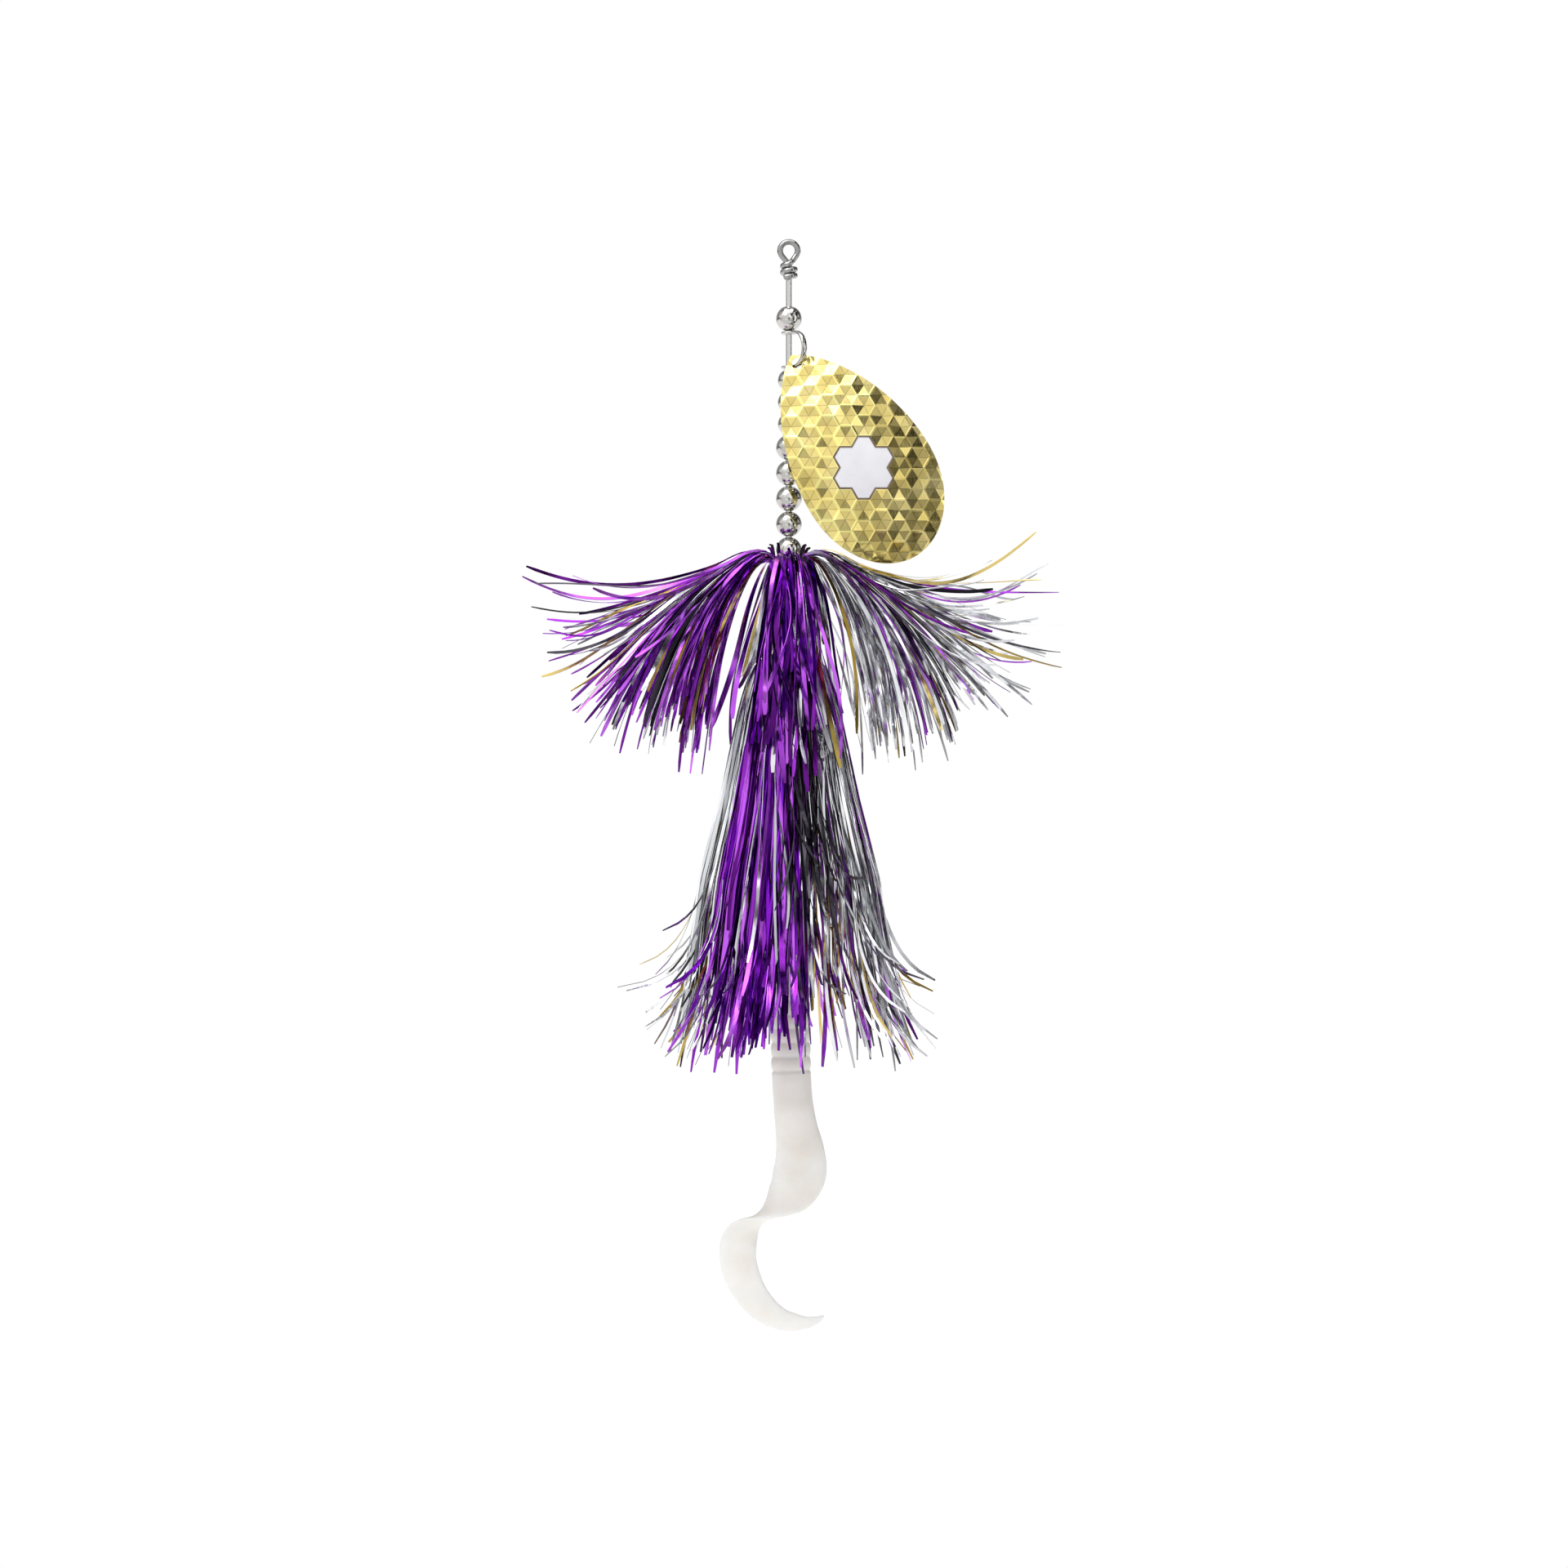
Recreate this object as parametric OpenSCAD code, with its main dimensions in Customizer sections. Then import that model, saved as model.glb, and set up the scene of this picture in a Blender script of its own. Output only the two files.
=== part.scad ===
// Inline spinner for large predatory fish.
// A wire shaft carries a clevis with a cupped blade, a stack of metal beads and
// two tinsel skirts; a split ring under it holds a hook dressed with a soft grub.
// Origin: centre of the line-tie eye. +Z up along the shaft, -Y is the front.

/* [Shaft] */
// Diameter of the shaft wire
wire_d = 1.5; // [1.2:0.1:1.6]
// Centreline radius of the line-tie eye
tie_eye_r = 2.25; // [2.2:0.05:2.6]
// Centreline radius of the lower eye
lower_eye_r = 2.4; // [2.3:0.05:2.6]
// Height of the centre of the lower eye
lower_eye_z = -140.5; // [-141:0.5:-140]

/* [Beads] */
// Diameter of the large beads
large_bead_d = 6.5; // [6:0.1:6.6]
// Diameter of the small beads
small_bead_d = 5.6; // [5:0.1:5.7]
// Diameter of the bore through every turning piece
bore_d = 1.68; // [1.64:0.01:1.70]
// Free play between neighbouring beads
bead_gap = 0.25; // [0.15:0.05:0.3]
// Height of the centre of the top bead
top_bead_z = -17.4; // [-17.6:0.1:-17]

/* [Clevis] */
// Width of the clevis strap
strap_w = 1.4; // [1.2:0.1:1.5]
// Thickness of the clevis strap
strap_t = 0.8; // [0.6:0.05:0.8]
// Diameter of the two clevis ears
ear_d = 4; // [3.6:0.1:4.2]
// Length of the straight arms, from the shaft axis
arm_l = 3; // [2.8:0.1:3.2]
// Centreline radius of the clevis bow
bow_r = 4.4; // [4.3:0.05:4.5]
// Angle of the clevis from the front towards +X
clevis_turn = 32; // [28:1:36]

/* [Blade] */
// Length of the blade from the centre of its hole to its lower end
blade_reach = 57.7; // [56:0.1:60]
// Height of the blade above the centre of its hole
blade_tip = 2.6; // [2.5:0.1:2.8]
// Distance from the hole to the widest place
blade_waist = 35; // [34:0.5:36]
// Width of the blade at its widest place
blade_w = 34.7; // [33:0.1:36]
// Thickness of the blade metal
blade_t = 0.8; // [0.7:0.05:0.9]
// Radius of the spherical cup
cup_r = 70; // [65:1:90]
// Diameter of the blade's hole
blade_hole_d = 2.9; // [2.8:0.05:3]
// Lean of the hanging blade towards +X
blade_lean = 32; // [30:1:34]
// Across-flats size of one cell of the emblem
cell = 5.3; // [5:0.1:5.5]
// Distance from the hole to the centre of the emblem
emblem_reach = 31.8; // [30:0.1:33]

/* [Skirts] */
// Outer diameter of the two skirt sleeves
sleeve_d = 4; // [3.8:0.1:4.2]
// Outer diameter of the thread wraps
thread_d = 5.8; // [5.6:0.1:6]
// Thickness of one lock of tinsel
lock_t = 0.5; // [0.4:0.05:0.6]
// Angle that one lock covers round the shaft
lock_angle = 11.5; // [9:0.5:12]

/* [Hook] */
// Diameter of the split ring's wire
ring_wire_d = 0.8; // [0.7:0.05:0.8]
// Centreline radius of the split ring
ring_r = 4.2; // [4:0.1:4.4]
// Diameter of the hook wire
hook_wire_d = 1.9; // [1.7:0.1:2]
// Centreline radius of the hook's eye
hook_eye_r = 2.6; // [2.5:0.05:2.7]
// Centreline radius of the hook's bend
bend_r = 8; // [7:0.5:8]
// Height where the shank runs into the bend
bend_z = -194; // [-195:1:-190]
// Height of the hook's point
point_z = -177; // [-179:1:-175]

/* [Grub] */
// Outer diameter of the grub's body
grub_d = 10.3; // [10:0.1:10.6]
// Height of the grub's head
grub_top_z = -163; // [-164:1:-162]
// Spacing of the ribs along the grub
rib_pitch = 3.6; // [3.4:0.1:3.8]
// Number of ribs
ribs = 12; // [8:1:12]
// Thickness of the flat curled tail
tail_t = 2; // [1.6:0.1:2.4]

/* [Hidden] */
$fn = 64;

wire_r = wire_d / 2;
wrap_pitch = wire_d + 0.05;
steel = "#8f8f93";
nickel = "#c9c8cc";
brass = "#d9b84a";
purple = "#6a1b9a";
silver = "#b9bcc4";
black = "#16141c";
gold = "#b79a3a";
soft_white = "#ece8df";

// Topmost wrap under the line-tie eye and above the lower eye, and the straight wire between them
upper_wrap_z = -3.8;
lower_wrap_z = lower_eye_z + 4 + 2 * wrap_pitch;
straight_top_z = upper_wrap_z - 2 * wrap_pitch;
straight_bottom_z = lower_wrap_z + wrap_pitch / 2 + 0.1;

// Clevis and blade
top_ear_z = top_bead_z - half_height(large_bead_d) - 0.1 - strap_t / 2;
bow_z = top_ear_z - bow_r;
low_ear_z = bow_z - bow_r;
hole_r = 3.96;
hole_z = low_ear_z + 0.65;
cup_mid = 27.5;

// Bead stack under the clevis: three small beads, then five large ones
stack_d = [small_bead_d, small_bead_d, small_bead_d,
  large_bead_d, large_bead_d, large_bead_d, large_bead_d, large_bead_d];
stack_top = low_ear_z - strap_t / 2;
stack_z = [for (i = [0:7]) stack_top - stack_depth(i) - half_height(stack_d[i])];

// Skirts: heights along the shaft and the course of a lock as [radius, height]
upper_top_z = -79.9;
lower_top_z = -100;
lower_end_z = -126.8;
upper_course = [[2.6, -85.5], [2.6, -82], [3.9, -79.5], [5.2, -77.7], [8, -76.2], [12, -76.8],
  [17, -80.2], [25, -83.2], [35, -88.8], [45, -97.2], [54, -109], [60, -122]];
lower_course = [[2.6, -106.5], [2.6, -104], [4.2, -101.8], [7, -101], [11, -106], [14, -118],
  [18, -140], [24, -161], [28, -186], [30, -195], [32, -207]];
// Four lobes of six locks, from the left lobe round by the front
upper_locks = [
  ["purple", "black", "purple", "purple", "gold", "purple"],
  ["purple", "purple", "silver", "purple", "purple", "black"],
  ["silver", "silver", "black", "silver", "purple", "silver"],
  ["silver", "gold", "silver", "purple", "silver", "gold"]];
lower_locks = [
  ["silver", "gold", "silver", "purple", "purple", "purple"],
  ["purple", "purple", "purple", "black", "black", "silver"],
  ["silver", "silver", "black", "silver", "silver", "gold"],
  ["silver", "purple", "black", "silver", "purple", "silver"]];
// How far each lobe of the upper skirt spreads
upper_reach = [1, 0.62, 1, 0.62];
// Top and bottom of the thread that ties each skirt
upper_thread_z = [-82, -87];
lower_thread_z = [-104, -109];

// Hook end
ring_top_z = lower_eye_z - 1;
ring_z = ring_top_z - ring_r;
ring_bottom_z = ring_z - ring_r;
hook_eye_z = ring_bottom_z - 0.9;
// Centreline of the grub's tail as [x, z, half width]
tail_course = [[1, -208, 4.6], [1.4, -217, 5.1], [2.1, -225, 5.5], [2.9, -233, 6.5],
  [1.2, -240.5, 6.2], [-3.4, -246.4, 4], [-8.2, -250.2, 2.6], [-12.2, -254.8, 4.2],
  [-13, -261, 4.4], [-10.2, -267, 3.8], [-5.4, -271.4, 3], [0.4, -274, 2.1], [5, -274, 1.4],
  [9, -272.4, 0.4]];

// Half the length of a bead along its bore
function half_height(d) = sqrt(pow(d / 2, 2) - pow(bore_d / 2, 2));

// Depth of everything above bead number i in the stack
function stack_depth(i) = bead_gap + (i == 0 ? 0 : 2 * half_height(stack_d[i - 1]) + stack_depth(i - 1));

// Half width of the blade at distance s below its hole
function blade_half(s) = s < blade_waist
  ? blade_w / 2 * pow(max(0, 1 - pow((s - blade_waist) / (blade_waist + blade_tip), 2)), 0.77)
  : blade_w / 2 * pow(max(0, 1 - pow((s - blade_waist) / (blade_reach - blade_waist), 2)), 0.5);

function unit(v) = v / norm(v);

// Direction of a path at its point i
function course_dir(path, i) = unit(path[min(i + 1, len(path) - 1)] - path[max(i - 1, 0)]);

// Section of a lock at point i of its course, before it is turned round the shaft
function lock_ring(course, i, half_angle) =
  let (t = course_dir(course, i), n = [-t[1], t[0]] * lock_t / 2, w = course[i][0] * tan(half_angle),
    a = course[i] + n, b = course[i] - n)
  [[a[0], -w, a[1]], [a[0], w, a[1]], [b[0], w, b[1]], [b[0], -w, b[1]]];

// A course with its outer part drawn in towards the shaft
function drawn_in(course, reach) = [for (p = course) p[0] <= 12 ? p : [12 + (p[0] - 12) * reach, p[1]]];

// Closed solid through a row of rings that have the same number of points
module skin(rings) {
  n = len(rings[0]);
  last = (len(rings) - 1) * n;
  sides = [for (i = [0:len(rings) - 2], j = [0:n - 1]) each
    [[i * n + j, (i + 1) * n + j, i * n + (j + 1) % n],
     [(i + 1) * n + j, (i + 1) * n + (j + 1) % n, i * n + (j + 1) % n]]];
  caps = [[for (j = [0:n - 1]) j], [for (j = [n - 1:-1:0]) last + j]];
  polyhedron([for (ring = rings) each ring], concat(sides, caps), convexity = 6);
}

// Turns of wire wound round the shaft, bedded a little into it; z: height of the first turn
module wrap(z, turns) {
  for (k = [0:turns - 1]) translate([0, 0, z - k * wrap_pitch]) rotate_extrude()
    translate([wire_d - 0.05, 0]) circle(r = wire_r);
}

module eye(z, r, d) {
  translate([0, 0, z]) rotate([90, 0, 0]) rotate_extrude() translate([r, 0]) circle(d = d);
}

// Straight stretch of the shaft's wire from height z1 down to z2
module straight_wire(z1, z2) {
  translate([0, 0, z2]) cylinder(r = wire_r, h = z1 - z2);
}

// The shaft is one wire; its two eyes are nodes of their own, which meet the straight part face to face
module shaft_wire() {
  color(steel) straight_wire(straight_top_z, straight_bottom_z);
}

module line_eye() {
  color(steel) union() {
    eye(0, tie_eye_r, wire_d);
    straight_wire(-tie_eye_r, straight_top_z);
    wrap(upper_wrap_z, 2);
  }
}

module ring_eye() {
  color(steel) union() {
    eye(lower_eye_z, lower_eye_r, wire_d);
    straight_wire(straight_bottom_z, lower_eye_z + lower_eye_r);
    wrap(lower_wrap_z, 3);
  }
}

module bead(d, z) {
  color(nickel) translate([0, 0, z]) difference() {
    sphere(d = d);
    cylinder(d = bore_d, h = d + 1, center = true);
  }
}

module top_bead() {
  bead(large_bead_d, top_bead_z);
}

module stack_bead(i) {
  bead(stack_d[i], stack_z[i]);
}

module tail_bead() {
  bead(small_bead_d, lower_end_z - 0.3 - half_height(small_bead_d));
}

module clevis() {
  color(nickel) rotate([0, 0, clevis_turn - 90]) difference() {
    union() {
      for (z = [top_ear_z, low_ear_z]) translate([0, 0, z]) {
        cylinder(d = ear_d, h = strap_t, center = true);
        translate([0, -strap_w / 2, -strap_t / 2]) cube([arm_l, strap_w, strap_t]);
      }
      translate([arm_l, 0, bow_z]) rotate([90, 0, 0]) rotate_extrude(angle = 180, start = -90)
        translate([bow_r - strap_t / 2, -strap_w / 2]) square([strap_t, strap_w]);
    }
    translate([0, 0, low_ear_z - strap_t]) cylinder(d = bore_d, h = 2 * (bow_r + strap_t));
  }
}

// Frame of the blade: origin at its hole, -Z along the blade, cup open towards +Y
module blade_frame() {
  translate([hole_r * sin(clevis_turn), -hole_r * cos(clevis_turn), hole_z])
    rotate([0, -blade_lean, 0]) children();
}

// Spherical shell of the cup between two distances from its mid surface
module cup_shell(inner, outer) {
  translate([0, sqrt(cup_r * cup_r - cup_mid * cup_mid), -cup_mid]) difference() {
    sphere(r = cup_r + outer);
    sphere(r = cup_r + inner);
  }
}

// Upright prism over a flat outline given in x and z
module prism() {
  translate([0, 8, 0]) rotate([90, 0, 0]) linear_extrude(24) children();
}

module blade() {
  steps = 36;
  length = blade_reach + blade_tip;
  // Steps are closer together near both ends, where the outline turns fast
  s = [for (k = [1:steps - 1]) -blade_tip + length * (1 - cos(180 * k / steps)) / 2];
  right = [for (v = s) [blade_half(v), -v]];
  left = [for (k = [len(s) - 1:-1:0]) [-blade_half(s[k]), -s[k]]];
  color(brass) blade_frame() difference() {
    intersection() {
      cup_shell(-blade_t / 2, blade_t / 2);
      prism() polygon(concat([[0, blade_tip]], right, [[0, -blade_reach]], left));
    }
    rotate([90, 0, 0]) cylinder(d = blade_hole_d, h = 12, center = true);
  }
}

// Flat-topped flower of seven six-sided cells
module flower() {
  cell_r = cell / sqrt(3);
  union() {
    circle(r = cell_r, $fn = 6);
    for (a = [30:60:330]) translate(cell * [cos(a), sin(a)]) circle(r = cell_r * 1.001, $fn = 6);
  }
}

module blade_emblem() {
  color("#f1f0f4") blade_frame() intersection() {
    cup_shell(blade_t / 2 - 0.05, blade_t / 2 + 0.25);
    translate([0, 0, -emblem_reach]) rotate([0, blade_lean, 0]) prism() flower();
  }
}

// Sleeve that turns on the shaft, from height z1 down to z2
module sleeve(z1, z2) {
  translate([0, 0, z2]) difference() {
    cylinder(d = sleeve_d, h = z1 - z2);
    translate([0, 0, -1]) cylinder(d = bore_d, h = z1 - z2 + 2);
  }
}

// Thread wound round a sleeve: a ring with rounded edges
module thread(z1, z2) {
  edge = 0.3;
  outer = thread_d / 2;
  inner = sleeve_d / 2;
  rotate_extrude() polygon([[inner, z1], [outer - edge, z1], [outer, z1 - edge],
    [outer, z2 + edge], [outer - edge, z2], [inner, z2]]);
}

// All locks of one colour in a skirt
module tinsel(name, locks, course, reach = [1, 1, 1, 1]) {
  for (lobe = [0:3], k = [0:5]) if (locks[lobe][k] == name)
    rotate([0, 0, 180 + 90 * lobe + (k - 2.5) * (lock_angle + 1.5)]) {
      c = drawn_in(course, reach[lobe]);
      skin([for (i = [0:len(c) - 1]) lock_ring(c, i, lock_angle / 2)]);
    }
}

module upper_tinsel(name) {
  tinsel(name, upper_locks, upper_course, upper_reach);
}

module lower_tinsel(name) {
  tinsel(name, lower_locks, lower_course);
}

module upper_sleeve() {
  color("#3a3a40") sleeve(upper_top_z, lower_top_z + 0.3);
}

module lower_sleeve() {
  color("#3a3a40") sleeve(lower_top_z, lower_end_z);
}

module upper_thread() {
  color("#2a1038") thread(upper_thread_z[0], upper_thread_z[1]);
}

module lower_thread() {
  color("#2a1038") thread(lower_thread_z[0], lower_thread_z[1]);
}

module upper_tinsel_purple() {
  color(purple) upper_tinsel("purple");
}

module upper_tinsel_silver() {
  color(silver) upper_tinsel("silver");
}

module upper_tinsel_black() {
  color(black) upper_tinsel("black");
}

module upper_tinsel_gold() {
  color(gold) upper_tinsel("gold");
}

module lower_tinsel_purple() {
  color(purple) lower_tinsel("purple");
}

module lower_tinsel_silver() {
  color(silver) lower_tinsel("silver");
}

module lower_tinsel_black() {
  color(black) lower_tinsel("black");
}

module lower_tinsel_gold() {
  color(gold) lower_tinsel("gold");
}

// Two flat coils side by side in the YZ plane, joined by a short step
module split_ring() {
  offset_x = ring_wire_d / 2 + 0.01;
  step_start = 330;
  step_end = 360;
  path = [for (a = [0:15:675])
    let (f = min(1, max(0, (a - step_start) / (step_end - step_start))))
    [offset_x * (2 * f - 1), ring_r * cos(a), ring_r * sin(a)]];
  rings = [for (i = [0:len(path) - 1])
    let (u = unit([0, path[i][1], path[i][2]]), t = course_dir(path, i), v = unit(cross(t, u)))
    [for (k = [0:7]) path[i] + ring_wire_d / 2 * (cos(45 * k) * u + sin(45 * k) * v)]];
  color("#9a9aa0") translate([0, 0, ring_z]) skin(rings);
}

module hook() {
  shank_top = hook_eye_z - hook_eye_r;
  taper = 6;
  leg_y = 2 * bend_r;
  color("#6f7076") union() {
    eye(hook_eye_z, hook_eye_r, hook_wire_d);
    translate([0, 0, bend_z]) cylinder(d = hook_wire_d, h = shank_top - bend_z);
    translate([0, bend_r, bend_z]) rotate([0, 90, 0]) rotate([0, 0, -90])
      rotate_extrude(angle = 180) translate([bend_r, 0]) circle(d = hook_wire_d);
    translate([0, leg_y, bend_z]) cylinder(d = hook_wire_d, h = point_z - taper - bend_z);
    translate([0, leg_y, point_z - taper]) cylinder(d1 = hook_wire_d, d2 = 0.3, h = taper);
    // Barb on the inner side of the point
    translate([-0.3, leg_y - 0.3, point_z - taper]) rotate([90, 0, 90])
      linear_extrude(0.6) polygon([[0, -0.5], [-1.7, -1.4], [0.1, 3.2]]);
  }
}

// Right and left edge of the grub's tail
function tail_edge(side) = [for (i = [0:len(tail_course) - 1])
  let (p = [for (q = tail_course) [q[0], q[1]]], t = course_dir(p, i))
  p[i] + side * tail_course[i][2] * [-t[1], t[0]]];

module grub() {
  r = grub_d / 2;
  groove = 0.7;
  first_rib = -3.6;
  neck = -52;
  body_end = -59;
  left = tail_edge(-1);
  profile = concat([[0, 0], [2.2, 0], [3.8, -1], [r - groove, -3]],
    [for (k = [0:ribs - 1], p = [[r - groove, 0], [r, -0.7], [r, -2.1], [r - groove, -2.8]])
      [p[0], p[1] + first_rib - k * rib_pitch]],
    [[r - groove, neck], [r - 1.6, body_end + 2], [0, body_end]]);
  color(soft_white) union() {
    translate([0, 0, grub_top_z]) rotate_extrude() polygon(profile);
    translate([0, tail_t / 2, 0]) rotate([90, 0, 0]) linear_extrude(tail_t)
      polygon(concat(tail_edge(1), [for (k = [len(left) - 1:-1:0]) left[k]]));
  }
}

shaft_wire();
line_eye();
ring_eye();
top_bead();
clevis();
blade();
blade_emblem();
stack_bead(0);  // bead_1
stack_bead(1);  // bead_2
stack_bead(2);  // bead_3
stack_bead(3);  // bead_4
stack_bead(4);  // bead_5
stack_bead(5);  // bead_6
stack_bead(6);  // bead_7
stack_bead(7);  // bead_8
upper_sleeve();
upper_thread();
upper_tinsel_purple();
upper_tinsel_silver();
upper_tinsel_black();
upper_tinsel_gold();
lower_sleeve();
lower_thread();
lower_tinsel_purple();
lower_tinsel_silver();
lower_tinsel_black();
lower_tinsel_gold();
tail_bead();
split_ring();
hook();
grub();
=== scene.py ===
import math
import random

import bmesh
import bpy
import numpy as np
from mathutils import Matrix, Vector


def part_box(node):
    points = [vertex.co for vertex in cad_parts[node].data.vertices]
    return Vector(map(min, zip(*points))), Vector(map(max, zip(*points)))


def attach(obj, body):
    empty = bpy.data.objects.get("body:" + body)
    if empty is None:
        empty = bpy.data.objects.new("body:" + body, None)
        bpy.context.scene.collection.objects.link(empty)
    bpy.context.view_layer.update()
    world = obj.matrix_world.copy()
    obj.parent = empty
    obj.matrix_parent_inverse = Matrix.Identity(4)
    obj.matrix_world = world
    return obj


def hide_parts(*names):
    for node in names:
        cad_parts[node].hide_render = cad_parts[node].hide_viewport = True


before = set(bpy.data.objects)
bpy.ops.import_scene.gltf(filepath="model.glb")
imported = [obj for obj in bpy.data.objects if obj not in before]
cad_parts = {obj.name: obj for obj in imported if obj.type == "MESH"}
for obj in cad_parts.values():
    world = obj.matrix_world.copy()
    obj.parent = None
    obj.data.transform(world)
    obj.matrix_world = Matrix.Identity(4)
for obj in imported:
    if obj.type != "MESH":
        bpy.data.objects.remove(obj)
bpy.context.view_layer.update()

# Lengths are written in millimetres and turned into metres where a mesh is made.
MM = 0.001

# Camera: level, square on to the front, aimed at the middle of the lure
CAMERA_AT = (-1.25, -1115, -136.5)
LENS = 100
SENSOR = 36

# Floor sheet: it starts a little in front of the lure and runs far back
FLOOR_Z = -300
FLOOR_FRONT = -150
FLOOR_REACH = 6000

# Shaft: its wire, the centreline of each eye, and the wraps below them
WIRE_R = 0.75
EYE_R = 2.25
LOWER_EYE_Z = -140.5
LOWER_EYE_R = 2.4
WRAP_PITCH = 1.56

# Beads and clevis
BORE_R = 0.84
CLEVIS_TURN = math.radians(32)
ARM_L = 3
BOW_R = 4.4
EAR_R = 2
STRAP_W = 1.4
STRAP_T = 0.8

# Blade
BLADE_REACH = 57.7
BLADE_TIP = 2.6
BLADE_WAIST = 35
BLADE_W = 34.7
BLADE_T = 0.8
BLADE_LEAN = math.radians(32)
CUP_R = 70
CUP_MID = 27.5
HOLE_R = 1.45
HOLE_OUT = 3.96
HOLE_RISE = 0.65
# Embossing: size across the flats of a cell, its depth, the part of it inside its raised border
CELL = 5.3
CELL_R = CELL / math.sqrt(3)
CELL_DEPTH = 0.4
CELL_INSIDE = 0.86
RIDGE = 0.09
EMBLEM_REACH = 31.8
# Columns and rows of cells, and how far from the cup's middle a point is clear of the blade
CELLS_EACH_WAY = range(-9, 9)
BEYOND_BLADE = 60

# Thickness of one strand of film
FILM_T = 0.12

rng = random.Random(7)


def span(node, axis="z"):
    """Lowest and highest place of a CAD node along an axis, in millimetres."""
    low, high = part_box(node)
    return getattr(low, axis) / MM, getattr(high, axis) / MM


# ---------------------------------------------------------------- mesh helpers


def new_mesh(name, verts, faces):
    """A mesh in metres from points in millimetres, with its normals outwards."""
    mesh = bpy.data.meshes.new(name)
    mesh.from_pydata([tuple(float(c) * MM for c in v) for v in verts], [], [tuple(f) for f in faces])
    mesh.validate()
    bm = bmesh.new()
    bm.from_mesh(mesh)
    bmesh.ops.recalc_face_normals(bm, faces=bm.faces)
    bm.to_mesh(mesh)
    bm.free()
    return mesh


def new_object(name, data):
    obj = bpy.data.objects.new(name, data)
    bpy.context.scene.collection.objects.link(obj)
    return obj


def shade(mesh, smooth, sharp_angle=None):
    mesh.polygons.foreach_set("use_smooth", [smooth] * len(mesh.polygons))
    if sharp_angle is not None:
        mesh.set_sharp_from_angle(angle=math.radians(sharp_angle))


def add_piece(name, mesh, material, body, node):
    """An object that rides on a body and stands for a CAD node."""
    obj = new_object(name, mesh)
    mesh.materials.append(material)
    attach(obj, body)
    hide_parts(node)
    return obj


def add_mesh(name, verts, faces, material, body, node, smooth=True, angle=None):
    mesh = new_mesh(name, verts, faces)
    shade(mesh, smooth, angle)
    return add_piece(name, mesh, material, body, node)


def frames_along(path):
    """Tangent and two normals at each point of a path, carried along without twist."""
    path = np.asarray(path, float)
    tangents = np.gradient(path, axis=0)
    tangents /= np.linalg.norm(tangents, axis=1)[:, None]
    start = np.array([0.0, 1.0, 0.0]) if abs(tangents[0][1]) < 0.9 else np.array([1.0, 0.0, 0.0])
    normal = start - tangents[0] * start.dot(tangents[0])
    normals = []
    for t in tangents:
        normal = normal - t * normal.dot(t)
        normal = normal / np.linalg.norm(normal)
        normals.append(normal)
    normals = np.array(normals)
    return tangents, normals, np.cross(tangents, normals)


def skin(rings, closed=False):
    """Vertices and faces through rings with equal point counts, capped at both ends."""
    rings = np.asarray(rings, float)
    m, n = rings.shape[:2]
    faces = []
    for i in range(m if closed else m - 1):
        a, b = i * n, ((i + 1) % m) * n
        faces += [(a + j, a + (j + 1) % n, b + (j + 1) % n, b + j) for j in range(n)]
    if not closed:
        faces.append(tuple(range(n - 1, -1, -1)))
        faces.append(tuple(range((m - 1) * n, m * n)))
    return rings.reshape(-1, 3), faces


def tube(path, radius, sides=16):
    """Round tube along a path; radius is a number or one per point."""
    path = np.asarray(path, float)
    radius = np.broadcast_to(radius, len(path))
    _, u, v = frames_along(path)
    turn = np.linspace(0, 2 * math.pi, sides, endpoint=False)
    rings = [
        path[i] + radius[i] * (np.outer(np.cos(turn), u[i]) + np.outer(np.sin(turn), v[i]))
        for i in range(len(path))
    ]
    return skin(rings)


def lathe(profile, z=0.0, segments=96):
    """Closed (radius, height) outline turned round the Z axis."""
    turn = np.linspace(0, 2 * math.pi, segments, endpoint=False)
    rings = [[(r * math.cos(a), r * math.sin(a), h + z) for r, h in profile] for a in turn]
    return skin(rings, closed=True)


def curve_through(points, count):
    """Smooth curve through points (Catmull-Rom), evenly spaced over their first three columns."""
    p = np.asarray(points, float)
    p = np.vstack([2 * p[0] - p[1], p, 2 * p[-1] - p[-2]])
    out = []
    for t in np.linspace(0, len(p) - 3 - 1e-9, count * 4):
        i = int(t)
        f = t - i
        a, b, c, d = p[i : i + 4]
        out.append(
            0.5 * (2 * b + (c - a) * f + (2 * a - 5 * b + 4 * c - d) * f**2 + (3 * b - a - 3 * c + d) * f**3)
        )
    out = np.array(out)
    steps = np.concatenate([[0], np.cumsum(np.linalg.norm(np.diff(out[:, :3], axis=0), axis=1))])
    at = np.linspace(0, steps[-1], count)
    return np.stack([np.interp(at, steps, out[:, k]) for k in range(out.shape[1])], axis=1)


def cut_hole(obj, verts, faces):
    """Cuts a closed mesh, given in millimetres, out of an object."""
    cutter = new_object("cutter", new_mesh("cutter", verts, faces))
    cut = obj.modifiers.new("hole", "BOOLEAN")
    cut.operation = "DIFFERENCE"
    cut.solver = "EXACT"
    cut.object = cutter
    bpy.context.view_layer.update()
    result = bpy.data.meshes.new_from_object(obj.evaluated_get(bpy.context.evaluated_depsgraph_get()))
    obj.modifiers.clear()
    obj.data = result
    bpy.data.objects.remove(cutter)


# ------------------------------------------------------------------- materials


def new_material(name):
    mat = bpy.data.materials.new(name)
    mat.use_nodes = True
    tree = mat.node_tree
    shader = tree.nodes["Principled BSDF"]
    return mat, tree, shader


def add_node(tree, kind, inputs=None, **settings):
    node = tree.nodes.new(kind)
    for key, value in settings.items():
        setattr(node, key, value)
    for key, value in (inputs or {}).items():
        node.inputs[key].default_value = value
    return node


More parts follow.
